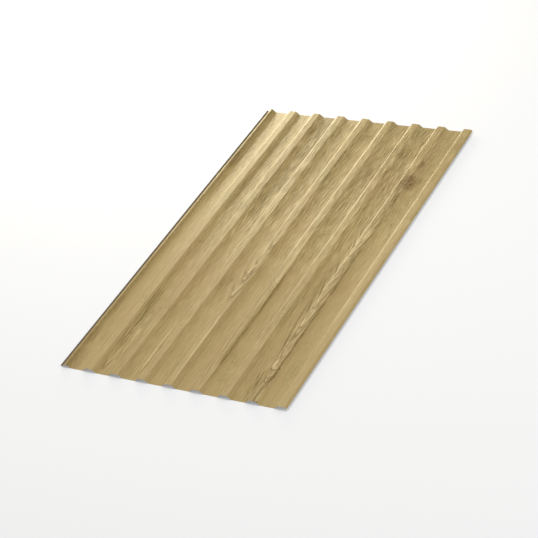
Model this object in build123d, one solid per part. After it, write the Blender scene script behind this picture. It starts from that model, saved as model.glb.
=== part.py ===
from build123d import *
import os

# A roll-formed roofing and cladding sheet: one strip of coated steel with trapezoid ribs along
# its length. It lies flat with its printed face up, ribs along Y, and every size in millimetres.

# The strip
sheet_length = 2000.0
sheet_thickness = 0.5

# The repeating section, measured on the printed upper face from bend corner to bend corner
rib_count = 9
rib_pitch = 137.5
rib_height = 17.5
crest_width = 35.0
flank_run = 17.5
bend_radius = 5.0

# The overlap edge, on the right: its last flank is cut off part way down
overlap_drop = 8.0

# The underlap edge, on the left: a narrow crest, then a drain groove with an upturned lip
underlap_crest_width = 9.0
groove_depth = 17.0
groove_flank_run = 17.0
groove_bend_radius = 1.5
lip_rise = 8.0
lip_run = 5.5

# Worked out from the sizes above
half_crest = crest_width / 2
rib_centres = [rib_pitch * (i - (rib_count - 1) / 2) for i in range(rib_count)]
crest_bend = bend_radius + sheet_thickness
valley_bend = bend_radius


def rising_flank(centre):
    """Foot and shoulder on a rib's left side, each as a point and its bend on the upper face."""
    return [
        ((centre - half_crest - flank_run, 0), valley_bend),
        ((centre - half_crest, rib_height), crest_bend),
    ]


def falling_flank(centre):
    """Shoulder and foot on a rib's right side."""
    return [
        ((centre + half_crest, rib_height), crest_bend),
        ((centre + half_crest + flank_run, 0), valley_bend),
    ]


def underlap_edge(centre):
    """The lip's cut edge, the groove's bottom and the narrow crest's outer shoulder."""
    shoulder = centre + half_crest - underlap_crest_width
    bottom = shoulder - groove_flank_run
    floor = rib_height - groove_depth
    return [
        ((bottom - lip_run, floor + lip_rise), 0),
        ((bottom, floor), groove_bend_radius),
        ((shoulder, rib_height), crest_bend),
    ]


def overlap_edge(centre):
    """The last shoulder and the cut edge part way down its flank."""
    cut_run = flank_run * overlap_drop / rib_height
    return [
        ((centre + half_crest, rib_height), crest_bend),
        ((centre + half_crest + cut_run, rib_height - overlap_drop), 0),
    ]


def section_corners():
    """Every corner of the upper face in the section, from the underlap lip to the overlap edge."""
    corners = underlap_edge(rib_centres[0]) + falling_flank(rib_centres[0])
    for centre in rib_centres[1:-1]:
        corners += rising_flank(centre) + falling_flank(centre)
    return corners + rising_flank(rib_centres[-1]) + overlap_edge(rib_centres[-1])


def profiled_sheet():
    """The section bent from one line, given its thickness downwards and drawn along the ribs."""
    corners = section_corners()
    points = [point for point, bend in corners]
    bends = [bend for point, bend in corners[1:-1]]
    with BuildPart() as sheet:
        with BuildSketch(Plane.XZ):
            with BuildLine():
                FilletPolyline(*points, radius=bends)
                offset(amount=sheet_thickness, side=Side.RIGHT)
            make_face()
        extrude(amount=sheet_length / 2, both=True)
    return sheet.part


def centred_on_floor(shape):
    """The shape moved so that its box stands on the floor plane, centred on the origin."""
    box = shape.bounding_box()
    return Pos(-box.center().X, -box.center().Y, -box.min.Z) * shape


os.makedirs("parts", exist_ok=True)
export_step(centred_on_floor(profiled_sheet()), "parts/profiled_sheet.step")
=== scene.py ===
"""A roll-formed roofing and cladding sheet with a light-oak printed coat, dressed for its portrait.

The construction model holds the sheet's section, length and place. This file builds the same sheet as a
fine surface, with its bends rounded and its flats as faintly uneven as rolled steel is, and gives it the
printed coat, the grey back coat and the sheared steel edge. All lengths are in metres.
"""

import logging
import math
from collections.abc import Sequence
from dataclasses import dataclass, field
from enum import IntEnum
from typing import NamedTuple

import bpy
import numpy as np
from mathutils import Matrix, Vector


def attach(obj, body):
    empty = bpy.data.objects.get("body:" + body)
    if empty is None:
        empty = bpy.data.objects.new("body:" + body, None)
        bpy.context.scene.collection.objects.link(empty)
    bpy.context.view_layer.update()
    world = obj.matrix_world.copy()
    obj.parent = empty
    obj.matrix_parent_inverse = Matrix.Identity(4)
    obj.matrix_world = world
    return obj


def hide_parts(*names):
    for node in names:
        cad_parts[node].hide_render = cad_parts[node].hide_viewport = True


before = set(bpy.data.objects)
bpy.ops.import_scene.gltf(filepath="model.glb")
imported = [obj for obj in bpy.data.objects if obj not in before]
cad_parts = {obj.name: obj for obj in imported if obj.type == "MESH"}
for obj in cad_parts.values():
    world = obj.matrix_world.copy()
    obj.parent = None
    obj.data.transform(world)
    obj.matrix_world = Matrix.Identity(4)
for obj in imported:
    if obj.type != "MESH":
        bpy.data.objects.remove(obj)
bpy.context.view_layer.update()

MM = 0.001
NODE = "profiled_sheet"
BODY = "root"
STRIP_MAP = "strip"
BAKE_MAP = "OFBake"
# How deep a relief of height 1 is under a coat
RELIEF_DEPTH = 0.08 * MM
# Shorter than this is no length at all
NO_LENGTH = 1e-6

Socket = bpy.types.NodeSocket
Tree = bpy.types.NodeTree
# What a socket can be fed with
Feed = Socket | float | tuple[float, ...]
Colour = tuple[float, float, float]
# Where a smooth step starts and ends and, where they are not 0 and 1, its values before and after
Step = tuple[float, ...]
WHITE: Colour = (1.0, 1.0, 1.0)

# How the print's marks and the painted highlight and shade bands fade: a knot in shares of its radius, a
# streak or painted band in metres, an arch in shares of its height, and the glow inside it in half widths of
# its line
KNOT_CORE: Step = (0.35, 1.25)
KNOT_FALL = 0.25
STREAK_FADE_IN = 0.12
STREAK_FADE_OUT = 0.16
ARCH_FOOT = -0.2
ARCH_FADE: Step = (0.45, 1.0)
GLOW_EDGE: Step = (-2.2, -0.6, 1.0, 0.0)
GLOW_DECAY = 1.15

log = logging.getLogger("sheet")


class Finish(IntEnum):
    """The sheet's three surfaces, in the order of its material slots."""

    PRINT_COAT = 0
    BACK_COAT = 1
    CUT_EDGE = 2


@dataclass(frozen=True)
class Blots:
    """How fine a noise is: its blots to a metre, across and along, and the finer layers on top."""

    across: float
    along: float
    layers: float = 2.0
    roughness: float = 0.55


class NodeBench:
    """Adds nodes to one tree and joins them. Most methods give back the socket that they make."""

    def __init__(self, tree: Tree) -> None:
        """Takes the tree to work in."""
        self.tree = tree

    def add(self, kind: str, **settings: object) -> bpy.types.Node:
        """Adds one node.

        Args:
            kind: the node's type name, without its "ShaderNode" start.
            settings: the node's own properties and their values.

        Returns:
            The new node.
        """
        node = self.tree.nodes.new("ShaderNode" + kind)
        for name, value in settings.items():
            setattr(node, name, value)
        return node

    def feed(self, socket: Socket, value: Feed) -> None:
        """Joins a socket to another, or sets it to a plain number or tuple.

        Args:
            socket: the input to feed.
            value: what it gets.
        """
        if isinstance(value, Socket):
            self.tree.links.new(value, socket)
        else:
            socket.default_value = value

    def fed(self, node: bpy.types.Node, values: Sequence[Feed]) -> bpy.types.Node:
        """Feeds a node's inputs in their order.

        Args:
            node: the node.
            values: a value for each of its first inputs.

        Returns:
            The same node.
        """
        for socket, value in zip(node.inputs, values):
            self.feed(socket, value)
        return node

    def math(self, operation: str, *values: Feed) -> Socket:
        """One Math node on up to three values."""
        return self.fed(self.add("Math", operation=operation), values).outputs[0]

    def times(self, first: Feed, second: Feed) -> Socket:
        """Two values multiplied."""
        return self.math("MULTIPLY", first, second)

    def weigh(self, value: Feed, weight: Feed, onto: Feed) -> Socket:
        """A value times its weight, added onto another."""
        return self.math("MULTIPLY_ADD", value, weight, onto)

    def bell(self, off: Feed, steepness: float = 1.0) -> Socket:
        """One where off is 0, and falling to each side as exp(-steepness times off squared)."""
        return self.math("EXPONENT", self.times(self.times(off, off), -steepness))

    def vector(self, operation: str, *values: Feed) -> Socket:
        """One Vector Math node. Gives back its vector, or its number for a length."""
        outputs = self.fed(self.add("VectorMath", operation=operation), values).outputs
        return outputs[1 if operation == "LENGTH" else 0]

    def parts(self, vector: Feed) -> tuple[Socket, ...]:
        """The three numbers of a vector."""
        return tuple(self.fed(self.add("SeparateXYZ"), [vector]).outputs)

    def whole(self, x: Feed, y: Feed) -> Socket:
        """A flat vector from two numbers."""
        return self.fed(self.add("CombineXYZ"), [x, y]).outputs[0]

    def noise(self, where: Feed, blots: Blots, twist: float = 0.0) -> Socket:
        """Cloudy noise on the strip.

        Args:
            where: the place on the strip.
            blots: how fine the noise is.
            twist: how far its blots are wound into each other.

        Returns:
            The noise's value, from 0 to 1.
        """
        node = self.add("TexNoise", noise_dimensions="2D")
        self.feed(node.inputs["Vector"], self.vector("MULTIPLY", where, (blots.across, blots.along, 0.0)))
        settings = {"Scale": 1.0, "Detail": blots.layers, "Roughness": blots.roughness, "Distortion": twist}
        for name, value in settings.items():
            node.inputs[name].default_value = value
        return node.outputs["Fac"]

    def swing(self, where: Feed, blots: Blots, twist: float = 0.0) -> Socket:
        """The same noise around 0, from -0.5 to 0.5."""
        return self.math("SUBTRACT", self.noise(where, blots, twist), 0.5)

    def between(self, value: Feed, low: float, high: float, at_low: float = 0.0,
                at_high: float = 1.0) -> Socket:
        """A smooth step.

        Args:
            value: the value that runs over the step.
            low: where the step starts.
            high: where it ends.
            at_low: what it gives up to there.
            at_high: what it gives from there on.

        Returns:
            The step's value.
        """
        node = self.add("MapRange", interpolation_type="SMOOTHSTEP", clamp=False)
        return self.fed(node, [value, low, high, at_low, at_high]).outputs[0]

    def line(self, swing: Feed, width: float) -> Socket:
        """Thin lines where a noise passes its middle: 1 on the line, and 0 from the width on."""
        return self.between(self.math("ABSOLUTE", swing), 0.0, width, 1.0, 0.0)

    def ramp(self, value: Feed, stops: Sequence[tuple[float, Colour]], mode: str = "LINEAR") -> Socket:
        """A colour ramp.

        Args:
            value: where on the ramp, from 0 to 1.
            stops: each stop's place and its colour.
            mode: LINEAR, EASE or CONSTANT.

        Returns:
            The ramp's colour.
        """
        node = self.add("ValToRGB")
        node.color_ramp.interpolation = mode
        elements = node.color_ramp.elements
        while len(elements) < len(stops):
            elements.new(1.0)
        for element, (place, colour) in zip(elements, stops):
            element.position = place
            element.color = opaque(colour)
        return self.fed(node, [value]).outputs[0]

    def blend(self, share: Feed, first: Feed, second: Feed, how: str = "MIX") -> Socket:
        """Two colours blended.

        Args:
            share: how much of the second, from 0 to 1.
            first: the first colour.
            second: the second colour.
            how: the blend's type.

        Returns:
            The blended colour.
        """
        node = self.add("Mix", data_type="RGBA", blend_type=how)
        for socket, value in ((node.inputs[0], share), (node.inputs[6], first), (node.inputs[7], second)):
            self.feed(socket, value)
        return node.outputs[2]

    def bump(self, height: Feed, strength: float) -> Socket:
        """The normal of a fine relief.

        Args:
            height: the relief's height, where 1 is RELIEF_DEPTH.
            strength: how much of it shows.

        Returns:
            The normal.
        """
        node = self.add("Bump")
        node.inputs["Strength"].default_value = strength
        node.inputs["Distance"].default_value = RELIEF_DEPTH
        self.feed(node.inputs["Height"], height)
        return node.outputs[0]

    def place(self, group: Tree, **values: Feed) -> dict[str, Socket]:
        """Puts a node group into this tree.

        Args:
            group: the group.
            values: what each of its inputs gets, by name.

        Returns:
            The group's outputs, by name.
        """
        node = self.add("Group", node_tree=group)
        for name, value in values.items():
            self.feed(node.inputs[name], value)
        return dict(node.outputs.items())


class EffectGroup:
    """A shader node group with named inputs and outputs, built once and placed in several materials."""

    def __init__(self, name: str, inputs: dict[str, float | None], outputs: Sequence[str]) -> None:
        """Makes the empty group.

        Args:
            name: the group's name.
            inputs: each input's name and its usual number, or None for a vector.
            outputs: the name of each output, all of them numbers.
        """
        self.tree = bpy.data.node_groups.new(name, "ShaderNodeTree")
        for label, usual in inputs.items():
            kind = "NodeSocketVector" if usual is None else "NodeSocketFloat"
            socket = self.tree.interface.new_socket(label, in_out="INPUT", socket_type=kind)
            if usual is not None:
                socket.default_value = usual
        for label in outputs:
            self.tree.interface.new_socket(label, in_out="OUTPUT", socket_type="NodeSocketFloat")
        self.bench = NodeBench(self.tree)
        self.given = self.tree.nodes.new("NodeGroupInput").outputs
        self.result = self.tree.nodes.new("NodeGroupOutput").inputs

    def give(self, label: str, value: Feed) -> None:
        """Feeds one output."""
        self.bench.feed(self.result[label], value)


class PaintBench(NodeBench):
    """The bench of a new material, whose Principled shader is fed by the names of its inputs."""

    def __init__(self, name: str) -> None:
        """Makes the material.

        Args:
            name: the material's name.
        """
        self.material = bpy.data.materials.new(name)
        self.material.use_nodes = True
        super().__init__(self.material.node_tree)
        self.shader = self.tree.nodes["Principled BSDF"]

    def strip_place(self) -> Socket:
        """The place on the strip, from the strip's own map."""
        return self.add("UVMap", uv_map=STRIP_MAP).outputs[0]

    def give(self, label: str, value: Feed) -> None:
        """Feeds one of the shader's inputs."""
        self.feed(self.shader.inputs[label], value)


def opaque(colour: Colour) -> tuple[float, ...]:
    """A colour with full cover."""
    return (*colour, 1.0)


def long_streaks() -> Tree:
    """Streaks that run the strip's whole length, as rollers and a coating line leave them.

    Returns:
        A group whose Streak is noise of Across and Along blots to a metre, between 0 and 1.
    """
    group = EffectGroup("long_streaks", {"Place": None, "Across": 90.0, "Along": 0.6}, ["Streak"])
    bench, given = group.bench, group.given
    scaled = bench.vector("MULTIPLY", given["Place"], bench.whole(given["Across"], given["Along"]))
    group.give("Streak", bench.noise(scaled, Blots(1.0, 1.0, 3.0)))
    return group.tree


def coat_texture() -> Tree:
    """The fine unevenness of a stoved coat: a shallow orange peel with a few dust nibs.

    Returns:
        A group whose Height is cloudy noise at Grain blots to a metre, plus a rare raised speck.
    """
    group = EffectGroup("coat_texture", {"Place": None, "Grain": 700.0}, ["Height"])
    bench, place, grain = group.bench, group.given["Place"], group.given["Grain"]
    nibs, rare, nib_height = Blots(260.0, 260.0, 0.0), (0.86, 0.93), 1.5
    scaled = bench.vector("MULTIPLY", place, bench.whole(grain, grain))
    peel = bench.noise(scaled, Blots(1.0, 1.0, 1.0))
    group.give("Height", bench.weigh(bench.between(bench.noise(place, nibs), *rare), nib_height, peel))
    return group.tree


def handling_rubs() -> Tree:
    """Faint rubs from stacking and sliding: thin lines along the strip that come and go.

    Returns:
        A group whose Rub is Amount in a line and 0 elsewhere: the lines where one long noise passes its
        middle, as far as a second broader noise lets them show.
    """
    group = EffectGroup("handling_rubs", {"Place": None, "Amount": 0.5}, ["Rub"])
    bench, place = group.bench, group.given["Place"]
    thin, thin_width = Blots(420.0, 1.7, 0.0), 0.012
    broad, showing = Blots(9.0, 3.1), (0.55, 0.72)
    line = bench.line(bench.swing(place, thin), thin_width)
    shown = bench.times(line, bench.between(bench.noise(place, broad), *showing))
    group.give("Rub", bench.times(shown, group.given["Amount"]))
    return group.tree


@dataclass(frozen=True)
class SharedEffects:
    """The effects that more than one finish uses, each a node group that is built once."""

    streaks: Tree = field(default_factory=long_streaks)
    texture: Tree = field(default_factory=coat_texture)
    rubs: Tree = field(default_factory=handling_rubs)

    def streak(self, bench: NodeBench, place: Feed, grain: tuple[float, float]) -> Socket:
        """Long streaks of so many blots to a metre, across and along."""
        return bench.place(self.streaks, Place=place, Across=grain[0], Along=grain[1])["Streak"]

    def peel(self, bench: NodeBench, place: Feed, grain: float) -> Socket:
        """The coat's texture as a height, of so many blots to a metre."""
        return bench.place(self.texture, Place=place, Grain=grain)["Height"]

    def rub(self, bench: NodeBench, place: Feed, amount: float) -> Socket:
        """Handling rubs of a given strength."""
        return bench.place(self.rubs, Place=place, Amount=amount)["Rub"]


@dataclass(frozen=True)
class Board:
    """One printed board, which runs from its edge to the next board's.

    The pith is the line that its rings close around, and taper and roundness shape their tips. Tone is
    its plain tone, figure the strength of its rings and bristle that of its fibres. Start and end bound
    its run of figure.
    """

    edge: float
    pith: float
    taper: float
    roundness: float
    tone: float
    figure: float
    bristle: float
    start: float
    end: float


class BoardHere(NamedTuple):
    """The numbers of the board that a point lies on, as sockets."""

    pith: Socket
    taper: Socket
    roundness: Socket
    tone: Socket
    figure: Socket
    bristle: Socket
    start: Socket
    end: Socket


@dataclass(frozen=True)
class Knot:
    """One printed knot: its place, radius and darkness, its pull on the grain, and its length in widths."""

    across: float
    along: float
    radius: float
    dark: float
    pull: float
    length: float = 1.5

    def draw(self, bench: NodeBench, place: Feed, push: Feed, dark: Feed) -> tuple[Socket, Socket]:
        """Adds the knot to those before it.

        Its push on the rings is pull times exp(-(distance / twice its radius) squared), and its darkness
        is a smooth step at its radius.

        Args:
            bench: the tree to work in.
            place: the bent place on the strip.
            push: how far those knots push the rings aside, in metres.
            dark: how dark they are.

        Returns:
            The push and the darkness, from 0 to 1, with the knot in them.
        """
        away = bench.vector("SUBTRACT", place, (self.across, self.along, 0.0))
        away = bench.vector("MULTIPLY", away, (1.0, 1.0 / self.length, 0.0))
        far = bench.math("DIVIDE", bench.vector("LENGTH", away), self.radius)
        core = bench.between(far, *KNOT_CORE, self.dark, 0.0)
        return bench.weigh(bench.bell(far, KNOT_FALL), self.pull, push), bench.math("MAXIMUM", core, dark)


@dataclass(frozen=True)
class Streak:
    """One long band of tone, a printed streak or a band of painted highlight, sheen or shade: where it lies
    across the strip, its two ends, its half width and its tone.
    """

    across: float
    start: float
    end: float
    half_width: float
    tone: float

    def draw(self, bench: NodeBench, across: Feed, along: Feed, onto: Feed) -> Socket:
        """Adds the streak's tone, which falls off sideways as exp(-(distance / half width) squared).

        Args:
            bench: the tree to work in.
            across: the bent distance across the strip.
            along: the distance along it.
            onto: the tone that is there already.

        Returns:
            The tone with the streak in it, which fades in and out at the streak's ends.
        """
        off = bench.math("DIVIDE", bench.math("SUBTRACT", across, self.across), self.half_width)
        band = bench.bell(off)
        rise = bench.between(along, self.start, self.start + STREAK_FADE_IN)
        fall = bench.between(along, self.end - STREAK_FADE_OUT, self.end, self.tone, 0.0)
        return bench.weigh(bench.times(band, rise), fall, onto)


@dataclass(frozen=True)
class Arch:
    """One bold tip of the figure: two arms that meet at a point, and part toward the far end."""

    across: float
    tip: float
    spread: float
    height: float
    half_width: float
    tone: float
    lean: float = 0.0
    glow: float = 0.35
    bow: float = 0.6

    def draw(self, bench: NodeBench, across: Feed, along: Feed, onto: Feed) -> Socket:
        """Adds the arch's tone.

        At a share r of the way from the tip to the arch's height, the arms stand spread times
        sqrt(r (r + bow) / (1 + bow)) to each side of a middle line that leans by lean times r. With x
        sideways from that line, the distance from the arch is x squared less that stand squared, over
        the length of its slope. The tone is strongest on the arch and falls off as
        exp(-(distance / half width) squared). Inside the arch, where the distance is negative, the
        opposite tone follows, glow times as strong, and fades as the glow's decay to the power of the
        distance in half widths. Nothing is drawn below the foot, and the whole fades out at its height.

        Args:
            bench: the tree to work in.
            across: the bent distance across the strip.
            along: the bent distance along it.
            onto: the tone that is there already.

        Returns:
            The tone with the arch in it.
        """
        rise = bench.weigh(along, 1.0 / self.height, -self.tip / self.height)
        side = bench.math("SUBTRACT", bench.weigh(rise, -self.lean, across), self.across)
        square = bench.times(side, side)
        reach = self.spread ** 2 / (1.0 + self.bow)
        opened = bench.times(rise, bench.math("ADD", rise, self.bow))
        bulge = bench.weigh(opened, -reach, square)
        slant = self.half_width * reach / self.height
        steep = bench.weigh(rise, 2.0 * slant, self.bow * slant)
        steep = bench.times(steep, steep)
        slope = bench.math("SQRT", bench.weigh(square, 4.0 * self.half_width ** 2, steep))
        off = bench.math("DIVIDE", bulge, slope)
        line = bench.bell(off)
        within = bench.between(off, *GLOW_EDGE)
        inside = bench.times(bench.math("POWER", GLOW_DECAY, bench.math("MINIMUM", off, 0.0)), within)
        drawn = bench.weigh(inside, -self.glow, line)
        drawn = bench.times(drawn, bench.math("GREATER_THAN", rise, ARCH_FOOT))
        return bench.weigh(drawn, bench.between(rise, *ARCH_FADE, self.tone, 0.0), onto)


@dataclass(frozen=True)
class GrowthRings:
    """The fine nested rings: their gap and tones, and where on a board they show."""

    gap: float = 11.0 * MM
    drift: float = 0.6
    swing: float = 2.4
    tones: tuple[tuple[float, float], ...] = (
        (0.0, 0.62), (0.12, 1.0), (0.40, 0.52), (0.74, 0.12), (0.90, 0.0), (1.0, 0.62)
    )
    fine_per_ring: float = 2.7
    by_pith: Step = (0.028, 0.065, 1.0, 0.20)
    run_start: Step = (-0.05, 0.05)
    run_end: Step = (0.0, 0.25, 0.10, 1.0)
    patch: Blots = Blots(8.0, 2.6)
    patch_shows: Step = (0.34, 0.56, 0.25, 1.0)

    def lines(self, bench: NodeBench, radius: Feed) -> tuple[Socket, Socket, Socket]:
        """The rings, one to each gap of the radius, with noise that makes the gaps uneven.

        Args:
            bench: the tree to work in.
            radius: how far out the point lies in the trunk.

        Returns:
            The point's share of the way through its ring, the ring's tone and that of finer lines, the
            tones around 0.
        """
        count = bench.math("DIVIDE", radius, self.gap)
        uneven = bench.noise(bench.whole(bench.times(count, self.drift), 0.0), Blots(1.0, 1.0, 1.0))
        count = bench.weigh(uneven, self.swing, count)
        share = bench.math("FRACT", count)
        ring = bench.ramp(share, [(at, (tone,) * 3) for at, tone in self.tones])
        ring = bench.math("SUBTRACT", bench.parts(ring)[0], 0.5)
        fine = bench.math("SUBTRACT", bench.math("FRACT", bench.times(count, self.fine_per_ring)), 0.5)
        return share, ring, fine

    def strength(self, bench: NodeBench, place: Feed, along: Feed, side: Feed, board: BoardHere) -> Socket:
        """How strongly the rings show: most near the pith, in patches along the board's run of figure.

        Args:
            bench: the tree to work in.
            place: the place on the strip.
            along: the distance along it.
            side: the distance sideways from the pith.
            board: the numbers of the board at that place.

        Returns:
            The strength, from 0 to 1.
        """
        by_pith = bench.between(bench.math("ABSOLUTE", side), *self.by_pith)
        after = bench.between(bench.math("SUBTRACT", along, board.start), *self.run_start)
        before = bench.between(bench.math("SUBTRACT", board.end, along), *self.run_end)
        patch = bench.between(bench.noise(place, self.patch), *self.patch_shows)
        run = bench.times(bench.times(after, before), patch)
        return bench.times(bench.times(board.figure, by_pith), run)


@dataclass(frozen=True)
class SoftTones:
    """The soft tones between the rings: streaks, clouds and fibres, and how lively they are."""

    broad: Blots = Blots(15.0, 0.9)
    broad_weight: float = 0.36
    narrow: Blots = Blots(62.0, 11.0, 3.0)
    narrow_weight: float = 0.34
    cloud: Blots = Blots(9.0, 5.0, 3.0)
    cloud_weight: float = 0.24
    fibre: Blots = Blots(250.0, 11.0)
    fibre_weight: float = 1.15
    lively: Step = (0.60, 1.40, 0.36, 0.66)
    lively_plain: float = 0.50
    lively_figure: float = 0.50
    lively_rings: float = 0.40
    bristly: Step = (0.60, 1.35, 0.34, 1.10)
    bristly_rings: float = 0.70
    drift: tuple[Step, ...] = ((0.75, 1.15, 0.0, 0.05), (1.25, 1.60, 0.0, -0.05))

    def tone(self, bench: NodeBench, places: tuple[Feed, Feed, Feed], board: BoardHere,
             strength: Feed) -> Socket:
        """The board's tone with the soft tones on it, which liven and drift along the strip.

        Args:
            bench: the tree to work in.
            places: the place on the strip, the same with the grain's bends, and the distance along.
            board: the numbers of the board at that place.
            strength: how strongly the rings show.

        Returns:
            The tone.
        """
        place, bent, along = places
        broad, narrow, fibre = (bench.swing(bent, blots) for blots in (self.broad, self.narrow, self.fibre))
        cloud = bench.swing(place, self.cloud)
        lively = bench.between(along, *self.lively)
        lively = bench.times(lively, bench.weigh(board.figure, self.lively_figure, self.lively_plain))
        lively = bench.weigh(strength, self.lively_rings, lively)
        soft = bench.weigh(broad, self.broad_weight, bench.times(narrow, self.narrow_weight))
        soft = bench.weigh(cloud, self.cloud_weight, soft)
        tone = bench.weigh(soft, lively, board.tone)
        for step in self.drift:
            tone = bench.math("ADD", tone, bench.between(along, *step))
        bristly = bench.times(board.bristle, bench.between(along, *self.bristly))
        bristly = bench.weigh(strength, self.bristly_rings, bristly)
        return bench.weigh(bench.times(fibre, self.fibre_weight), bristly, tone)


@dataclass(frozen=True)
class CurlyMarks:
    """Curly dark marks that crowd toward the far end, as oak has around buried knots."""

    marks: Blots = Blots(58.0, 26.0, 2.0, 0.5)
    twist: float = 1.3
    width: float = 0.050
    patch: Blots = Blots(9.0, 3.4, 1.0)
    toward_end: Step = (0.75, 1.45, -0.12, 0.10)
    patch_shows: Step = (0.48, 0.64)

    def group(self) -> Tree:
        """Makes the marks: the lines where a twisted noise passes its middle, in a broad noise's patches.

        Returns:
            A group with the Curl marks and the broad Patch that they lie in, each from 0 to 1.
        """
        group = EffectGroup("oak_curl", {"Place": None}, ["Curl", "Patch"])
        bench, place = group.bench, group.given["Place"]
        line = bench.line(bench.swing(place, self.marks, self.twist), self.width)
        end = bench.between(bench.parts(place)[1], *self.toward_end)
        patch = bench.math("ADD", bench.noise(place, self.patch), end)
        patch = bench.between(patch, *self.patch_shows)
        group.give("Curl", bench.times(line, patch))
        group.give("Patch", patch)
        return group.tree


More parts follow.
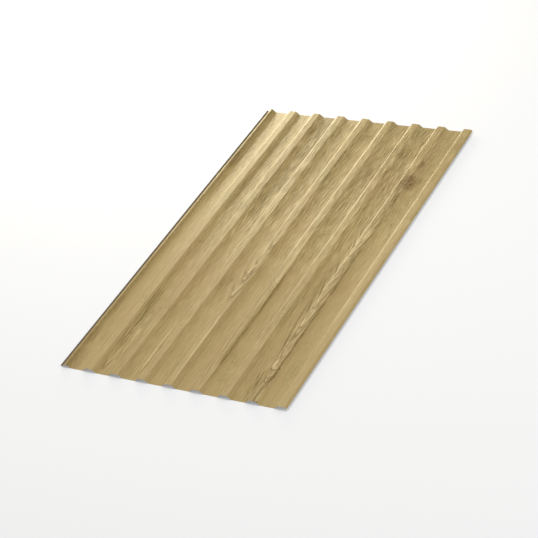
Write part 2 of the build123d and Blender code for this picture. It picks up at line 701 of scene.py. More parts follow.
@dataclass(frozen=True)
class OakPrint:
    """The printed upper coat: light oak boards that run with the ribs, under a satin clear layer, with some
    bands of painted highlight, sheen and shade in the print's tone.

    A tone is 0 where the print is darkest and 1 where it is palest.
    """

    strip_width: float
    strip_length: float

    # The colours of the tones, the washes over them, and the bare strip by the lip: unprinted base coat,
    # darkened as painted shade
    dark: Colour = (0.190, 0.124, 0.014)
    middle: Colour = (0.316, 0.216, 0.058)
    plain: Colour = (0.413, 0.291, 0.102)
    pale: Colour = (0.590, 0.460, 0.210)
    middle_at: float = 0.34
    plain_at: float = 0.62
    knot: Colour = (0.180, 0.098, 0.008)
    knot_blots: Blots = Blots(85.0, 40.0)
    knot_shows: Step = (0.36, 0.60, 0.45, 1.0)
    rosy: Colour = (0.995, 0.972, 0.975)
    rosy_blots: Blots = Blots(7.0, 2.1, 1.0)
    rosy_shows: Step = (0.50, 0.66)
    olive: Colour = (0.966, 0.978, 0.958)
    # Painted shade: the lip's dark strip is partly unprinted base coat and partly the groove's shade painted
    # in
    ground_and_painted_shade: Colour = (0.150, 0.125, 0.095)
    unprinted: float = 7.0 * MM
    print_edge: float = 1.0 * MM

    # Noises that bend the grain, and how far each bends what is drawn on it
    sway: Blots = Blots(4.5, 1.5)
    wave: Blots = Blots(30.0, 14.0)
    fuzz: Blots = Blots(120.0, 30.0)
    grain_bend: tuple[float, float] = (30.0 * MM, 11.0 * MM)
    knot_bend: tuple[float, float] = (50.0 * MM, 16.0 * MM)
    mark_share: float = 0.35
    streak_fuzz: float = 3.5 * MM
    arch_wave: float = 3.0 * MM
    arch_fuzz: tuple[float, float] = (1.2 * MM, 2.0 * MM)

    # The layers of the figure, and how much of each shows
    rings: GrowthRings = GrowthRings()
    ring_weight: float = 0.50
    fine_weight: float = 0.35
    soft: SoftTones = SoftTones()
    curl: CurlyMarks = CurlyMarks()
    curl_tone: float = -0.30
    ragged: Blots = Blots(150.0, 45.0)
    ragged_shows: Step = (0.30, 0.52, 0.85, 1.85)

    # The pores, which lie as short dashes and most of all in the early wood
    pore: Blots = Blots(700.0, 26.0, 0.0)
    pore_shows: Step = (0.58, 0.70)
    pore_early: Step = (0.0, 0.6, 1.0, 0.35)
    pore_tone: float = -0.12
    pore_depth: float = -1.4

    # The clear layer: how rough it is, and the relief under it
    satin: float = 0.40
    roller: tuple[float, float] = (60.0, 0.8)
    roller_rough: float = 0.10
    late_rough: float = 0.06
    late_depth: float = -0.8
    rub_amount: float = 0.35
    rub_tone: float = 0.10
    rub_rough: float = 0.15
    peel_grain: float = 650.0
    relief: float = 0.22

    boards: tuple[Board, ...] = (
        Board(0.0000, 0.100, 0.030, 0.012, 0.66, 0.15, 0.65, 0.00, 2.00),
        Board(0.2006, 0.230, 0.090, 0.004, 0.57, 0.80, 1.30, 0.00, 0.62),
        Board(0.3517, 0.424, 0.060, 0.008, 0.61, 0.45, 1.75, 0.00, 0.50),
        Board(0.5028, 0.620, 0.140, 0.005, 0.63, 0.80, 1.30, 0.52, 1.10),
        Board(0.6539, 0.795, 0.030, 0.006, 0.61, 0.55, 1.30, 0.05, 1.05),
        Board(0.8049, 0.905, 0.035, 0.010, 0.61, 0.40, 1.65, 0.30, 1.25),
        Board(0.9560, 1.069, 0.180, 0.005, 0.58, 1.00, 1.75, 0.00, 1.20),
        Board(1.1071, 1.175, 0.030, 0.012, 0.67, 0.15, 0.65, 0.00, 2.00),
    )
    knots: tuple[Knot, ...] = (
        Knot(1.104, 1.560, 0.052, 1.00, 0.030, 1.30),
        Knot(1.072, 1.530, 0.030, 0.45, 0.012, 1.80),
        Knot(1.146, 1.582, 0.030, 0.60, 0.012, 1.1),
        Knot(1.113, 1.705, 0.012, 0.60, 0.010, 2.6),
        Knot(0.046, 1.562, 0.028, 0.75, 0.020, 2.4),
        Knot(0.066, 1.690, 0.014, 0.25, 0.010, 3.4),
        Knot(0.098, 1.240, 0.008, 0.28, 0.006, 1.3),
        Knot(1.152, 1.240, 0.010, 0.32, 0.008, 1.2),
        Knot(0.218, 0.935, 0.010, 0.50, 0.008, 1.3),
        Knot(0.276, 0.694, 0.007, 0.45, 0.005, 1.2),
        Knot(0.634, 0.970, 0.011, 0.40, 0.018, 1.6),
        Knot(0.619, 0.752, 0.008, 0.40, 0.020, 1.8),
        Knot(1.080, 0.232, 0.006, 0.40, 0.026, 1.5),
        Knot(1.082, 0.150, 0.008, 0.35, 0.022, 1.4),
        Knot(0.842, 1.600, 0.034, 0.30, 0.018, 2.6),
        Knot(1.000, 1.652, 0.008, 0.35, 0.010, 1.3),
        Knot(0.990, 1.690, 0.020, 0.16, 0.020, 1.6),
        Knot(0.398, 1.870, 0.012, 0.30, 0.012, 1.8),
        Knot(0.062, 0.040, 0.046, 0.40, 0.010, 2.2),
        Knot(0.050, 0.210, 0.026, 0.34, 0.008, 2.6),
        Knot(0.048, 0.420, 0.018, 0.28, 0.008, 4.0),
    )
    streaks: tuple[Streak, ...] = (
        Streak(0.8075, 0.060, 1.060, 0.0026, -0.18),
        Streak(0.8010, 0.110, 0.560, 0.0080, -0.24),
        Streak(0.8085, 0.460, 0.880, 0.0060, -0.26),
        Streak(0.7985, 0.020, 0.760, 0.0030, 0.16),
        Streak(0.7900, 0.020, 0.700, 0.0022, -0.14),
        Streak(0.7940, 0.640, 1.080, 0.0100, 0.16),
        Streak(0.2215, 0.300, 0.600, 0.0030, -0.22),
        Streak(0.2080, 0.120, 0.720, 0.0022, -0.20),
        Streak(0.2450, 0.120, 0.560, 0.0028, -0.16),
        Streak(0.2620, 0.000, 0.400, 0.0035, 0.20),
        Streak(0.4220, 0.000, 0.440, 0.0035, 0.18),
        Streak(0.4300, 0.000, 0.400, 0.0028, -0.20),
        Streak(0.6330, 0.000, 0.560, 0.0040, 0.16),
        Streak(0.6440, 0.000, 0.660, 0.0030, -0.14),
        Streak(0.4255, 1.540, 1.960, 0.0040, -0.34),
        Streak(0.4140, 1.380, 1.620, 0.0060, -0.24),
        Streak(0.4255, 1.020, 1.180, 0.0040, -0.34),
        Streak(0.4000, 1.080, 2.200, 0.0240, -0.16),
        Streak(0.0440, -0.200, 2.200, 0.0110, -0.24),
        Streak(0.6420, 1.240, 1.900, 0.0050, -0.20),
        Streak(1.0230, 0.520, 1.000, 0.0024, -0.34),
        Streak(1.0080, 0.600, 1.020, 0.0022, -0.28),
        Streak(1.0150, 0.560, 1.060, 0.0022, -0.34),
        Streak(0.9990, 0.640, 0.980, 0.0020, -0.24),
        Streak(1.0300, 0.440, 0.960, 0.0020, -0.18),
        Streak(1.1020, 0.030, 1.130, 0.0045, -0.16),
        Streak(1.1010, 0.120, 0.560, 0.0040, -0.20),
        Streak(1.0740, 0.140, 0.400, 0.0060, 0.16),
        # Painted highlights: paler bands on the left flanks of ribs 3 to 8 toward the far end, where a
        # lamp's highlight falls
        Streak(0.7540, 0.840, 2.200, 0.0140, 0.27),
        Streak(0.3000, 1.280, 2.200, 0.0140, 0.14),
        Streak(0.4500, 1.020, 2.200, 0.0140, 0.19),
        Streak(0.6000, 1.080, 2.200, 0.0140, 0.17),
        Streak(0.9020, 0.860, 1.620, 0.0120, 0.14),
        Streak(1.0530, 0.880, 1.520, 0.0120, 0.12),
        # Painted sheen and shade in the two far-left valleys: paler toward each valley's right side, darker
        # beside the flank on its left
        Streak(0.1320, 1.200, 2.300, 0.0200, 0.16),
        Streak(0.2830, 1.200, 2.300, 0.0200, 0.12),
        Streak(0.0700, 1.200, 2.300, 0.0140, -0.12),
        Streak(0.2190, 1.200, 2.300, 0.0140, -0.12),
        Streak(1.0920, 1.200, 1.640, 0.0070, -0.22),
        # Painted highlight along the left shoulder of the last crest
        Streak(1.2140, 0.500, 1.560, 0.0180, 0.10),
    )
    arches: tuple[Arch, ...] = (
        Arch(0.2262, 0.335, 0.007, 0.34, 0.0024, -0.36, -0.002),
        Arch(0.2274, 0.154, 0.012, 0.22, 0.0024, -0.30, 0.001),
        Arch(0.2270, 0.205, 0.005, 0.14, 0.0020, -0.18),
        Arch(0.2300, 0.040, 0.016, 0.08, 0.0040, -0.22),
        Arch(0.2584, 0.130, 0.004, 0.16, 0.0020, -0.18),
        Arch(0.6210, 0.700, 0.042, 0.120, 0.0056, -0.34, -0.018, 0.30, 0.3),
        Arch(0.6200, 0.745, 0.024, 0.080, 0.0044, -0.30, -0.010, 0.50, 0.3),
        Arch(0.6200, 0.586, 0.044, 0.130, 0.0056, -0.30, -0.018, 0.45, 0.3),
        Arch(0.6240, 0.830, 0.030, 0.120, 0.0034, -0.18, -0.008),
        Arch(0.6350, 0.945, 0.016, 0.070, 0.0040, -0.24, 0.000, 0.80),
        Arch(0.7990, 0.716, 0.052, 0.130, 0.0020, -0.22, -0.045, 0.10),
        Arch(0.7995, 0.690, 0.052, 0.130, 0.0020, -0.18, -0.045, 0.10),
        Arch(0.8000, 0.664, 0.052, 0.130, 0.0020, -0.14, -0.045, 0.10),
        Arch(1.0800, 0.195, 0.1945, 0.550, 0.0036, -0.50, 0.116, 0.25),
        Arch(1.0800, 0.270, 0.120, 0.500, 0.0024, -0.28, 0.074, 0.10, 0.15),
        Arch(1.0790, 0.335, 0.070, 0.420, 0.0020, -0.24, 0.034, 0.10, 0.12),
        Arch(1.0760, 0.415, 0.044, 0.280, 0.0024, -0.34, -0.010, 0.20, 0.25),
        Arch(1.0720, 0.470, 0.046, 0.240, 0.0030, -0.46, -0.014, 0.40),
        Arch(1.0700, 0.606, 0.046, 0.240, 0.0030, -0.44, -0.014, 0.40),
        Arch(1.0700, 0.690, 0.040, 0.200, 0.0022, -0.22, -0.012, 0.20),
        Arch(1.0690, 0.765, 0.048, 0.240, 0.0030, -0.40, -0.014, 0.40),
        Arch(1.0690, 0.840, 0.044, 0.200, 0.0022, -0.22, -0.012, 0.20),
        Arch(1.0690, 0.911, 0.046, 0.200, 0.0026, -0.36, -0.012, 0.40),
        Arch(1.0690, 0.970, 0.050, 0.220, 0.0030, -0.46, -0.012, 0.60),
        Arch(1.0690, 1.040, 0.050, 0.220, 0.0024, -0.30, -0.012, 0.30),
        Arch(1.0940, 0.000, 0.111, 0.250, 0.0040, -0.50, 0.128, 0.35),
        Arch(1.1010, -0.012, 0.111, 0.250, 0.0020, -0.30, 0.128, 0.20),
        Arch(1.0820, 0.118, 0.030, 0.110, 0.0030, -0.26, 0.006, 0.60),
        Arch(1.0560, -0.050, 0.026, 0.300, 0.0028, -0.26, -0.010, 0.30),
        Arch(1.0300, 0.110, 0.010, 0.090, 0.0030, -0.26, -0.012, 0.30),
        Arch(1.0240, 0.050, 0.012, 0.200, 0.0024, -0.24, -0.004),
    )

    def board_here(self, bench: NodeBench, across: Feed) -> BoardHere:
        """The numbers of the board at a place, out of ramps with constant steps.

        The ramps hold lengths as shares of the strip and the bristle halved, because neither a place on a
        ramp nor a colour's part goes past 1.

        Args:
            bench: the tree to work in.
            across: the distance across the strip.

        Returns:
            The board's numbers.
        """
        width, length = self.strip_width, self.strip_length
        share = bench.math("DIVIDE", across, width)
        at = [board.edge / width for board in self.boards]
        rows = (
            [(board.pith / width, board.taper, board.roundness) for board in self.boards],
            [(board.tone, board.figure, board.bristle / 2) for board in self.boards],
            [(board.start / length, board.end / length, 0.0) for board in self.boards],
        )
        shape, look, run = (bench.parts(bench.ramp(share, list(zip(at, row)), "CONSTANT")) for row in rows)
        return BoardHere(
            pith=bench.times(shape[0], width), taper=shape[1], roundness=shape[2],
            tone=look[0], figure=look[1], bristle=bench.times(look[2], 2.0),
            start=bench.times(run[0], length), end=bench.times(run[1], length),
        )

    def arch_field(self, bench: NodeBench, across: Feed, along: Feed, true_across: Feed) -> Feed:
        """All the arches, each within its own board.

        Args:
            bench: the tree to work in.
            across: the bent distance across the strip.
            along: the bent distance along it.
            true_across: the distance across, without the bends.

        Returns:
            The tone that they add.
        """
        tone: Feed = 0.0
        edges = [board.edge for board in self.boards] + [self.strip_width]
        for left, right in zip(edges, edges[1:]):
            on_board: Feed = 0.0
            for arch in (arch for arch in self.arches if left <= arch.across < right):
                on_board = arch.draw(bench, across, along, on_board)
            past = bench.math("GREATER_THAN", true_across, left)
            short = bench.math("LESS_THAN", true_across, right)
            tone = bench.weigh(bench.times(past, short), on_board, tone)
        return tone

    def figure_group(self) -> Tree:
        """The oak figure as masks over the strip.

        A point's radius in the trunk is taper times the way to the far end, plus
        sqrt(sideways squared + roundness squared), so the rings close in nested tips toward the near end.
        Slow noise bends the grain, and each knot pushes it aside.

        Returns:
            A group with the print's Tone, which holds the painted highlight, sheen and shade bands too, its
            Late rings, its Pores and its Knot darkness.
        """
        group = EffectGroup("oak_figure", {"Place": None}, ["Tone", "Late", "Pores", "Knot"])
        bench, place = group.bench, group.given["Place"]
        sway, wave, fuzz = (bench.swing(place, blots) for blots in (self.sway, self.wave, self.fuzz))
        across, along, _ = bench.parts(place)
        by_sway, by_wave = self.grain_bend
        aside = bench.weigh(sway, by_sway, bench.times(wave, by_wave))
        bent_across = bench.math("ADD", across, aside)
        bent = bench.whole(bent_across, along)
        board = self.board_here(bench, across)

        by_sway, by_wave = self.knot_bend
        by_knots = bench.whole(bench.weigh(wave, by_wave, across), bench.weigh(sway, by_sway, along))
        push, dark = 0.0, 0.0
        for knot in self.knots:
            push, dark = knot.draw(bench, by_knots, push, dark)
        run = bench.math("SUBTRACT", self.strip_length, along)
        side = bench.math("SUBTRACT", bent_across, board.pith)
        squares = bench.math("ADD", bench.times(side, side), bench.times(board.roundness, board.roundness))
        radius = bench.weigh(run, board.taper, bench.math("SQRT", squares))
        share, ring, fine = self.rings.lines(bench, bench.math("ADD", radius, push))
        strength = self.rings.strength(bench, place, along, side, board)
        tone = self.soft.tone(bench, (place, bent, along), board, strength)

        slightly = bench.weigh(aside, self.mark_share, across)
        by_streaks = bench.weigh(fuzz, self.streak_fuzz, slightly)
        # The streaks hold the printed streaks and the bands of painted highlight, sheen and shade
        streaks = 0.0
        for streak in self.streaks:
            streaks = streak.draw(bench, by_streaks, along, streaks)
        fuzz_across, fuzz_along = self.arch_fuzz
        by_arches = bench.weigh(wave, self.arch_wave, bench.weigh(fuzz, fuzz_across, slightly))
        arches = self.arch_field(bench, by_arches, bench.weigh(fuzz, fuzz_along, along), across)
        ragged = bench.between(bench.noise(place, self.ragged), *self.ragged_shows)
        tone = bench.weigh(bench.math("ADD", streaks, arches), ragged, tone)

        figured = bench.times(bench.weigh(fine, self.fine_weight, ring), strength)
        group.give("Tone", bench.weigh(figured, self.ring_weight, tone))
        late = bench.math("MAXIMUM", bench.times(ring, -2.0), 0.0)
        group.give("Late", bench.times(late, strength))
        dashes = bench.between(bench.noise(bent, self.pore), *self.pore_shows)
        group.give("Pores", bench.times(dashes, bench.between(share, *self.pore_early)))
        group.give("Knot", dark)
        return group.tree

    def material(self, effects: SharedEffects) -> bpy.types.Material:
        """The printed coat's material.

        Args:
            effects: the effects that the finishes share.

        Returns:
            The material, which reads the strip's own map.
        """
        bench = PaintBench("oak_print_coat")
        place = bench.strip_place()
        oak = bench.place(self.figure_group(), Place=place)
        curl = bench.place(self.curl.group(), Place=place)
        roller = effects.streak(bench, place, self.roller)
        rub = effects.rub(bench, place, self.rub_amount)
        peel = effects.peel(bench, place, self.peel_grain)

        tone = bench.weigh(oak["Pores"], self.pore_tone, oak["Tone"])
        tone = bench.weigh(curl["Curl"], self.curl_tone, tone)
        tone = bench.weigh(rub, self.rub_tone, tone)
        stops = [(0.0, self.dark), (self.middle_at, self.middle), (self.plain_at, self.plain)]
        colour = bench.ramp(tone, stops + [(1.0, self.pale)])
        rosy = bench.between(bench.noise(place, self.rosy_blots), *self.rosy_shows)
        colour = bench.blend(rosy, colour, opaque(self.rosy), "MULTIPLY")
        colour = bench.blend(curl["Patch"], colour, opaque(self.olive), "MULTIPLY")
        broken = bench.between(bench.noise(place, self.knot_blots), *self.knot_shows)
        colour = bench.blend(bench.times(oak["Knot"], broken), colour, opaque(self.knot))
        # The lip's dark bare strip is partly the unprinted base coat and partly painted shade for the lip in
        # the groove
        start, end = self.unprinted - self.print_edge, self.unprinted + self.print_edge
        bare_and_shaded = bench.between(bench.parts(place)[0], start, end, 1.0, 0.0)
        bench.give("Base Color", bench.blend(bare_and_shaded, colour, opaque(self.ground_and_painted_shade)))

        rough = bench.weigh(roller, self.roller_rough, self.satin)
        rough = bench.weigh(oak["Late"], self.late_rough, rough)
        bench.give("Roughness", bench.weigh(rub, self.rub_rough, rough))
        height = bench.weigh(oak["Pores"], self.pore_depth, peel)
        height = bench.weigh(oak["Late"], self.late_depth, height)
        bench.give("Normal", bench.bump(height, self.relief))
        return bench.material


@dataclass(frozen=True)
class BackCoat:
    """The thin grey protective coat on the underside, streaked along the strip and rubbed in handling."""

    colour: Colour = (0.52, 0.53, 0.515)
    streak: Colour = (0.43, 0.44, 0.43)
    rubbed: Colour = (0.30, 0.31, 0.31)
    streak_grain: tuple[float, float] = (45.0, 0.5)
    streak_shows: Step = (0.30, 0.70)
    streak_rough: float = 0.20
    rub_amount: float = 0.8
    rub_share: float = 0.5
    satin: float = 0.38
    peel_grain: float = 500.0
    relief: float = 0.3

    def material(self, effects: SharedEffects) -> bpy.types.Material:
        """The back coat's material.

        Args:
            effects: the effects that the finishes share.

        Returns:
            The material, which reads the strip's own map.
        """
        bench = PaintBench("grey_back_coat")
        place = bench.strip_place()
        streak = effects.streak(bench, place, self.streak_grain)
        rub = effects.rub(bench, place, self.rub_amount)
        peel = effects.peel(bench, place, self.peel_grain)
        shade = bench.between(streak, *self.streak_shows)
        colour = bench.blend(shade, opaque(self.streak), opaque(self.colour))
        bench.give("Base Color", bench.blend(bench.times(rub, self.rub_share), colour, opaque(self.rubbed)))
        bench.give("Roughness", bench.weigh(streak, self.streak_rough, self.satin))
        bench.give("Normal", bench.bump(peel, self.relief))
        return bench.material


@dataclass(frozen=True)
class ShearedEdge:
    """The bare zinc and steel of the cut edges, brighter where the shear bit and duller where it broke."""

    zinc: Colour = (0.62, 0.62, 0.60)
    steel: Colour = (0.36, 0.35, 0.34)
    grain: tuple[float, float] = (900.0, 900.0)
    zinc_shows: Step = (0.35, 0.65)
    rough: float = 0.30
    grain_rough: float = 0.30
    metal: float = 0.85

    def material(self, effects: SharedEffects) -> bpy.types.Material:
        """The cut edge's material.

        Args:
            effects: the effects that the finishes share.

        Returns:
            The material, which reads the strip's own map.
        """
        bench = PaintBench("sheared_steel_edge")
        place = bench.strip_place()
        bite = effects.streak(bench, place, self.grain)
        share = bench.between(bite, *self.zinc_shows)
        bench.give("Base Color", bench.blend(share, opaque(self.steel), opaque(self.zinc)))
        bench.give("Roughness", bench.weigh(bite, self.grain_rough, self.rough))
        bench.give("Metallic", self.metal)
        return bench.material


def in_line_order(first: np.ndarray, of_flats: np.ndarray, of_arcs: np.ndarray,
                  last: np.ndarray) -> np.ndarray:
    """Puts the section's values in the order of its line: one end, the flats and bends by turns, the other.

    Args:
        first: the value at the line's start.
        of_flats: a row of values for each flat.
        of_arcs: a row of values for each bend between two flats.
        last: the value at the line's end.

    Returns:
        The values in one row.
    """
    pairs = np.concatenate([of_arcs, of_flats[1:]], axis=1)
    pairs = pairs.reshape(-1, *pairs.shape[2:])
    return np.concatenate([first[None], of_flats[0], pairs, last[None]])


@dataclass(frozen=True)
class SheetSection:
    """The sheet's section, measured on the printed upper face from bend corner to bend corner."""

    thickness: float = 0.5 * MM
    rib_count: int = 9
    rib_pitch: float = 137.5 * MM
    rib_height: float = 17.5 * MM
    crest_width: float = 35.0 * MM
    flank_run: float = 17.5 * MM
    bend_radius: float = 5.0 * MM
    overlap_drop: float = 8.0 * MM
    underlap_crest_width: float = 9.0 * MM
    groove_depth: float = 17.0 * MM
    groove_flank_run: float = 17.0 * MM
    groove_bend_radius: float = 1.5 * MM
    lip_rise: float = 8.0 * MM
    lip_run: float = 5.5 * MM
    arc_steps: int = 6
    flat_steps: int = 6

    def corners(self) -> tuple[np.ndarray, np.ndarray]:
        """The bend corners of the upper face and their bends, from the underlap lip to the overlap edge.

        Returns:
            The corners, one row of sideways and upright place each, and the bend radius at each.
        """
        centres = self.rib_pitch * (np.arange(self.rib_count) - (self.rib_count - 1) / 2)
        half, run, height = self.crest_width / 2, self.flank_run, self.rib_height
        rib_x = np.array([-half - run, -half, half, half + run])
        rib_z = np.array([0.0, height, height, 0.0])
        x = (centres[:, None] + rib_x).ravel()
        z = np.tile(rib_z, self.rib_count)
        valley, crest = self.bend_radius, self.bend_radius + self.thickness
        bends = np.tile([valley, crest, crest, valley], self.rib_count)
        shoulder = centres[0] + half - self.underlap_crest_width
        bottom = shoulder - self.groove_flank_run
        floor = height - self.groove_depth
        groove_x = [bottom - self.lip_run, bottom, shoulder]
        groove_z = [floor + self.lip_rise, floor, height]
        x = np.concatenate([groove_x, x[2:-1], [centres[-1] + half + run * self.overlap_drop / height]])
        z = np.concatenate([groove_z, z[2:-1], [height - self.overlap_drop]])
        bends = np.concatenate([[0.0, self.groove_bend_radius, crest], bends[2:-1], [0.0]])
        return np.stack([x, z], axis=1), bends

    def bent_line(self) -> tuple[np.ndarray, np.ndarray, np.ndarray, np.ndarray]:
        """The upper face's line, with an arc at each bend and each flat cut into even steps.

        At a corner that turns by t with radius r, the arc starts r tan(t/2) before the corner. Its points
        are its start plus r times (normal at the start minus normal turned by a share of t), to the side
        that the line turns to.

        Returns:
            The points, their unit normals, and for each point the flat it is on, or -1 in a bend, and
            its share of the way along that flat.
        """
        corners, bends = self.corners()
        leg = np.diff(corners, axis=0)
        way = leg / np.linalg.norm(leg, axis=1, keepdims=True)
        left = np.stack([-way[:, 1], way[:, 0]], axis=1)
        before, after = way[:-1], way[1:]
        turn = np.arctan2(before[:, 0] * after[:, 1] - before[:, 1] * after[:, 0], (before * after).sum(1))
        radius = bends[1:-1]
        reach = radius * np.tan(np.abs(turn) / 2)
        start = corners[1:-1] - before * reach[:, None]
        end = corners[1:-1] + after * reach[:, None]

        share = np.linspace(0.0, 1.0, self.arc_steps + 1)
        angle = turn[:, None] * share
        cos, sin = np.cos(angle), np.sin(angle)
        normal = left[:-1]
        turned = np.stack([cos * normal[:, None, 0] - sin * normal[:, None, 1],
                           sin * normal[:, None, 0] + cos * normal[:, None, 1]], axis=2)
        side = np.sign(turn)[:, None, None]
        arcs = start[:, None] + side * radius[:, None, None] * (normal[:, None] - turned)

        flat_start = np.vstack([corners[:1], end])
        flat_end = np.vstack([start, corners[-1:]])
        inner = np.linspace(0.0, 1.0, self.flat_steps + 1)[1:-1]
        flats = flat_start[:, None] + (flat_end - flat_start)[:, None] * inner[None, :, None]

        points = in_line_order(corners[0], flats, arcs, corners[-1])
        normals = in_line_order(left[0], np.repeat(left[:, None], len(inner), axis=1), turned, left[-1])
        numbers = np.repeat(np.arange(len(left))[:, None], len(inner), axis=1)
        in_bend = np.full((len(turn), len(share)), -1)
        flat_of = in_line_order(np.array(-1), numbers, in_bend, np.array(-1))
        shares = np.tile(inner, (len(left), 1))
        along = in_line_order(np.array(0.0), shares, np.zeros(in_bend.shape), np.array(0.0))
        return points, normals, flat_of, along


@dataclass
class ProfiledSheet:
    """The whole sheet: one strip of steel bent to its section and drawn along its ribs."""

    section: SheetSection = field(default_factory=SheetSection)
    length: float = 2000.0 * MM
    stations: int = 60
    unevenness: float = 0.22 * MM
    wave_length: tuple[float, float] = (0.34, 0.72)
    seed: int = 11

    def strip_width(self) -> float:
        """The developed width of the upper face, along its line."""
        points = self.section.bent_line()[0]
        return float(np.linalg.norm(np.diff(points, axis=0), axis=1).sum())

    def swell(self, points: np.ndarray, flat_of: np.ndarray, along: np.ndarray,
              y: np.ndarray) -> tuple[np.ndarray, np.ndarray, np.ndarray]:
        """The faint waves that rolled flats keep, inward from the section's own box.

        On a flat, at a share s of its width and a place y along it, the rise is the unevenness times
        sin(pi s) squared times (1 + sin(2 pi y / wave length + phase)) / 2. Valleys rise and crests sink.
        Flanks and bends stay true.

        Args:
            points: the section's line.
            flat_of: the flat that each point is on, or -1.
            along: each point's share of the way along its flat.
            y: the stations along the ribs.

        Returns:
            The rise at each point and station, and its slopes across and along the strip.
        """
        draw = np.random.default_rng(self.seed)
        flats = int(flat_of.max()) + 1
        wave = draw.uniform(*self.wave_length, flats)
        phase = draw.uniform(0.0, 2 * math.pi, flats)
        on_flat = flat_of >= 0
        number = np.where(on_flat, flat_of, 0)
        level = np.zeros(flats)
        height = np.array([points[flat_of == i, 1].mean() for i in range(flats)])
        tilt = np.array([np.ptp(points[flat_of == i, 1]) for i in range(flats)])
        level[(tilt < NO_LENGTH) & (height < self.section.rib_height / 2)] = 1.0
        level[(tilt < NO_LENGTH) & (height > self.section.rib_height / 2)] = -1.0
        width = np.array([np.ptp(points[flat_of == i, 0]) for i in range(flats)])
        width = width * self.section.flat_steps / (self.section.flat_steps - 2)

        size = (level[number] * on_flat * self.unevenness)[:, None]
        bell = np.sin(np.pi * along)[:, None] ** 2
        bell_slope = (np.pi * np.sin(2 * np.pi * along) / np.maximum(width[number], NO_LENGTH))[:, None]
        turn = 2 * np.pi * y[None] / wave[number][:, None] + phase[number][:, None]
        beat = (1 + np.sin(turn)) / 2
        beat_slope = np.cos(turn) * np.pi / wave[number][:, None]
        return size * bell * beat, size * bell_slope * beat, size * bell * beat_slope

    def surface(self) -> dict[str, np.ndarray]:
        """The sheet as one closed grid that runs over its upper face, and back along its lower face.

        The upper face is the section's line at each station plus the swell along its normal, and the lower
        face is the same surface moved by the thickness against its normal.

        Returns:
            The vertices, the faces, each face's finish, and for each face corner its normal, its place on
            the strip and its place in the bake map.
        """
        points, normals, flat_of, along = self.section.bent_line()
        y = np.linspace(-self.length / 2, self.length / 2, self.stations + 1)
        rise, slope_across, slope_along = self.swell(points, flat_of, along, y)
        tangent = np.stack([normals[:, 1], -normals[:, 0]], axis=1)
        sideways = points[:, None] + rise[..., None] * normals[:, None]
        lean = normals[:, None] - slope_across[..., None] * tangent[:, None]
        upright = np.stack([lean[..., 0], -slope_along, lean[..., 1]], axis=2)
        upright /= np.linalg.norm(upright, axis=2, keepdims=True)

        upper = np.stack([sideways[..., 0], np.broadcast_to(y, rise.shape), sideways[..., 1]], axis=2)
        thick = np.stack([normals[:, 0], np.zeros(len(normals)), normals[:, 1]], axis=1)[:, None]
        lower = upper - self.section.thickness * thick
        vertices = np.concatenate([upper.reshape(-1, 3), lower.reshape(-1, 3)])
        box = vertices.min(0), vertices.max(0)
        vertices -= [(box[0][0] + box[1][0]) / 2, 0.0, -self.section.thickness]

        across, stations = rise.shape
        grid = np.arange(across * stations).reshape(across, stations)
        under = grid + across * stations
        a, b, c, d = grid[:-1, :-1], grid[1:, :-1], grid[1:, 1:], grid[:-1, 1:]
        top = np.stack([a, b, c, d], axis=2).reshape(-1, 4)
        bottom = top[:, ::-1] + across * stations
        ends = [
            np.stack([grid[:-1, 0], under[:-1, 0], under[1:, 0], grid[1:, 0]], axis=1),
            np.stack([grid[1:, -1], under[1:, -1], under[:-1, -1], grid[:-1, -1]], axis=1),
            np.stack([grid[0, 1:], under[0, 1:], under[0, :-1], grid[0, :-1]], axis=1),
            np.stack([grid[-1, :-1], under[-1, :-1], under[-1, 1:], grid[-1, 1:]], axis=1),
        ]
        outward = [(0.0, -1.0, 0.0), (0.0, 1.0, 0.0),
                   (-tangent[0, 0], 0.0, -tangent[0, 1]), (tangent[-1, 0], 0.0, tangent[-1, 1])]
        faces = np.concatenate([top, bottom, *ends])
        cut = sum(len(end) for end in ends)
        finish = np.repeat(list(Finish), [len(top), len(bottom), cut])
        flat_normals = upright.reshape(-1, 3)
        corner_normals = np.concatenate(
            [flat_normals[top], -flat_normals[bottom - across * stations],
             *[np.broadcast_to(way, (len(end), 4, 3)) for way, end in zip(outward, ends)]]
        )

        walked = np.concatenate([[0.0], np.cumsum(np.linalg.norm(np.diff(points, axis=0), axis=1))])
        strip = np.stack(np.broadcast_arrays(walked[:, None], y[None] + self.length / 2), axis=2)
        strip = np.concatenate([strip, strip]).reshape(-1, 2)
        return {"vertices": vertices, "faces": faces, "normals": corner_normals.reshape(-1, 3),
                "finish": finish, "strip": strip[faces].reshape(-1, 2),
                "bake": self.bake_places(faces, finish, strip, len(top), [len(end) for end in ends])}

    def bake_places(self, faces: np.ndarray, finish: np.ndarray, strip: np.ndarray, face_count: int,
                    end_counts: list[int]) -> np.ndarray:
        """A map with the printed face large, the back smaller beside it, and each cut edge a thin band.

        Args:
            faces: the faces' vertices.
            finish: each face's finish.
            strip: each vertex's place on the strip.
            face_count: how many faces the upper side has.
            end_counts: how many faces each of the four cut edges has.

        Returns:
            A place from 0 to 1 each way for each face corner.
        """
        share = strip[faces] / [self.strip_width(), self.length]
        places = share.copy()
        print_band, back_band, edge_band, gap = 0.640, 0.300, 0.008, 0.004
        places[:face_count, :, 0] = gap + share[:face_count, :, 0] * print_band
        places[face_count:2 * face_count, :, 0] = (
            2 * gap + print_band + share[face_count:2 * face_count, :, 0] * back_band
        )
        first = 2 * face_count
        left = 3 * gap + print_band + back_band
        for number, count in enumerate(end_counts):
            rows = slice(first, first + count)
            shape = share[rows]
            run = shape[..., 0] if number < 2 else shape[..., 1]
            thick = np.broadcast_to([0.0, 1.0, 1.0, 0.0], run.shape)
            places[rows, :, 0] = left + number * (edge_band + gap) + thick * edge_band
            places[rows, :, 1] = run
            first += count
        places[..., 1] = gap + places[..., 1] * (1 - 2 * gap)
        return places.reshape(-1, 2)

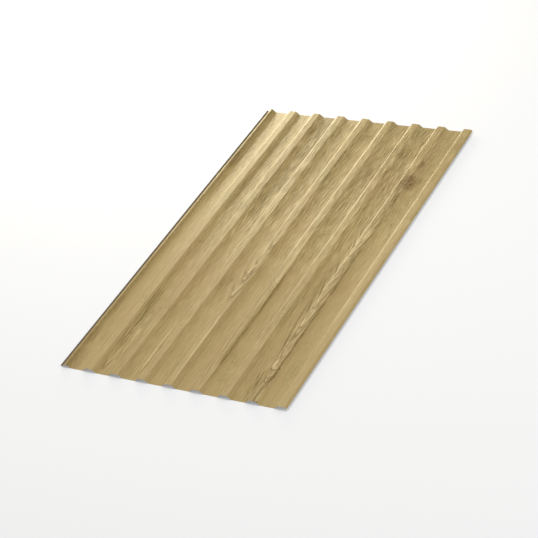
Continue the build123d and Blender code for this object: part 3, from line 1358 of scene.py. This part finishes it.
    def build(self) -> bpy.types.Object:
        """Makes the sheet's mesh and its object.

        Returns:
            The object, which sits at the origin.
        """
        made = self.surface()
        mesh = bpy.data.meshes.new(NODE + "_skin")
        mesh.from_pydata(made["vertices"], [], made["faces"])
        mesh.polygons.foreach_set("material_index", made["finish"].astype(np.int32))
        mesh.polygons.foreach_set("use_smooth", np.ones(len(made["faces"]), bool))
        for name, key in ((STRIP_MAP, "strip"), (BAKE_MAP, "bake")):
            layer = mesh.uv_layers.new(name=name)
            layer.uv.foreach_set("vector", made[key].astype(np.float32).ravel())
        mesh.update()
        mesh.normals_split_custom_set(made["normals"].tolist())
        sheet = bpy.data.objects.new("printed_sheet", mesh)
        bpy.context.scene.collection.objects.link(sheet)
        return sheet

    def dress(self, sheet: bpy.types.Object) -> None:
        """Gives the sheet its three finishes, in the order of their slots.

        Args:
            sheet: the sheet's object.
        """
        effects = SharedEffects()
        coats = {
            Finish.PRINT_COAT: OakPrint(strip_width=self.strip_width(), strip_length=self.length),
            Finish.BACK_COAT: BackCoat(),
            Finish.CUT_EDGE: ShearedEdge(),
        }
        for finish in Finish:
            sheet.data.materials.append(coats[finish].material(effects))


@dataclass(frozen=True)
class Lamp:
    """A rectangular soft lamp that faces a point on the sheet."""

    name: str
    place: tuple[float, float, float]
    faces: tuple[float, float, float]
    width: float
    height: float
    watts: float
    colour: Colour = (1.0, 1.0, 1.0)

    def hang(self) -> None:
        """Makes the lamp, turned so that its lit side faces its point."""
        data = bpy.data.lights.new(self.name, "AREA")
        data.shape = "RECTANGLE"
        data.size = self.width
        data.size_y = self.height
        data.energy = self.watts
        data.color = self.colour
        lamp = bpy.data.objects.new(self.name, data)
        lamp.location = self.place
        lamp.visible_camera = False
        lamp.rotation_euler = (Vector(self.faces) - Vector(self.place)).to_track_quat("-Z", "Y").to_euler()
        bpy.context.scene.collection.objects.link(lamp)


@dataclass(frozen=True)
class Studio:
    """The pale floor, the white surroundings, the soft lamps and the camera."""

    floor_half: float = 30.0
    floor_colour: Colour = (0.80, 0.80, 0.80)
    floor_rough: float = 0.9
    floor_shine: float = 0.1
    floor_glow: float = 0.17
    glow_from: float = 2.5
    glow_full: float = 4.5
    ambient: float = 0.50
    lens: float = 118.3
    sensor: float = 36.0
    aim: tuple[float, float, float] = (0.0587, -0.1823, 0.0095)
    distance: float = 7.984
    heading: float = 36.95
    elevation: float = 36.48
    roll: float = 15.36
    lamps: tuple[Lamp, ...] = (
        Lamp("far_left_panel", (-1.90, 2.30, 0.50), (-0.30, 0.70, 0.0), 1.50, 0.75, 52.0, (1.0, 0.95, 0.76)),
        Lamp("overhead_panel", (-2.2, 0.0, 6.0), (0.0, 0.0, 0.0), 2.6, 2.6, 115.0),
        Lamp("right_panel", (4.0, 0.0, 4.8), (0.0, 0.0, 0.0), 2.6, 2.6, 73.0),
        Lamp("far_panel", (3.0, 5.0, 3.4), (0.0, 0.0, 0.0), 2.6, 2.6, 20.0),
    )

    def lay_floor(self) -> None:
        """A wide floor at the sheet's own level, pale and matt, that the camera sees a little lit.

        The glow rises with the distance from the sheet, so that the floor meets the white surroundings.
        """
        half = self.floor_half
        corners = [(-half, -half, 0.0), (half, -half, 0.0), (half, half, 0.0), (-half, half, 0.0)]
        mesh = bpy.data.meshes.new("studio_floor")
        mesh.from_pydata(corners, [], [(0, 1, 2, 3)])
        floor = bpy.data.objects.new("studio_floor", mesh)
        bpy.context.scene.collection.objects.link(floor)
        bench = PaintBench("pale_floor")
        bench.give("Base Color", opaque(self.floor_colour))
        bench.give("Roughness", self.floor_rough)
        bench.give("Specular IOR Level", self.floor_shine)
        bench.give("Emission Color", opaque(WHITE))
        path = bench.add("LightPath").outputs
        seen = bench.math("MAXIMUM", path["Is Camera Ray"], path["Is Glossy Ray"])
        away = bench.vector("LENGTH", bench.add("TexCoord").outputs["Object"])
        glow = bench.between(away, self.glow_from, self.glow_full, self.floor_glow, 1.0)
        bench.give("Emission Strength", bench.times(seen, glow))
        mesh.materials.append(bench.material)

    def fill_with_light(self) -> None:
        """Even surroundings: white where the camera or a reflection sees them, and softer as a light."""
        world = bpy.data.worlds.new("white_room")
        bpy.context.scene.world = world
        world.use_nodes = True
        bench = NodeBench(world.node_tree)
        path = bench.add("LightPath").outputs
        seen = bench.math("MAXIMUM", path["Is Camera Ray"], path["Is Transmission Ray"])
        seen = bench.math("MAXIMUM", seen, path["Is Glossy Ray"])
        back = world.node_tree.nodes["Background"]
        bench.feed(back.inputs["Color"], opaque(WHITE))
        bench.feed(back.inputs["Strength"], bench.weigh(seen, 1.0 - self.ambient, self.ambient))
        for lamp in self.lamps:
            lamp.hang()

    def set_camera(self) -> None:
        """Puts the camera where its view of the sheet's corners is the photograph's.

        The camera looks down by the elevation, turned from the ribs by the heading, stands back from its
        aim by the distance, and is rolled about its own line of sight.
        """
        turn, down, roll = (math.radians(x) for x in (self.heading, self.elevation, self.roll))
        ahead = Vector((-math.sin(turn) * math.cos(down), math.cos(turn) * math.cos(down), -math.sin(down)))
        level = ahead.cross(Vector((0.0, 0.0, 1.0))).normalized()
        right = Matrix.Rotation(roll, 3, ahead) @ level
        upward = right.cross(ahead)
        place = Vector(self.aim) - ahead * self.distance
        data = bpy.data.cameras.new("portrait_camera")
        data.sensor_width = self.sensor
        data.lens = self.lens
        camera = bpy.data.objects.new("portrait_camera", data)
        axes = Matrix((right, upward, -ahead)).transposed().to_4x4()
        camera.matrix_world = Matrix.Translation(place) @ axes
        bpy.context.scene.collection.objects.link(camera)
        bpy.context.scene.camera = camera

    def build(self) -> None:
        """Makes the camera, the floor and the light."""
        bpy.context.scene.view_settings.view_transform = "Standard"
        self.set_camera()
        self.lay_floor()
        self.fill_with_light()


def main() -> None:
    """Builds the studio and the sheet, and ties the sheet to the construction model."""
    logging.basicConfig(level=logging.INFO, format="%(name)s: %(message)s")
    Studio().build()
    made = ProfiledSheet()
    sheet = made.build()
    made.dress(sheet)
    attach(sheet, BODY)
    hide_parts(NODE)
    log.info("%s: %d faces, strip %.4f m wide", sheet.name, len(sheet.data.polygons), made.strip_width())


if __name__ == "__main__":
    main()
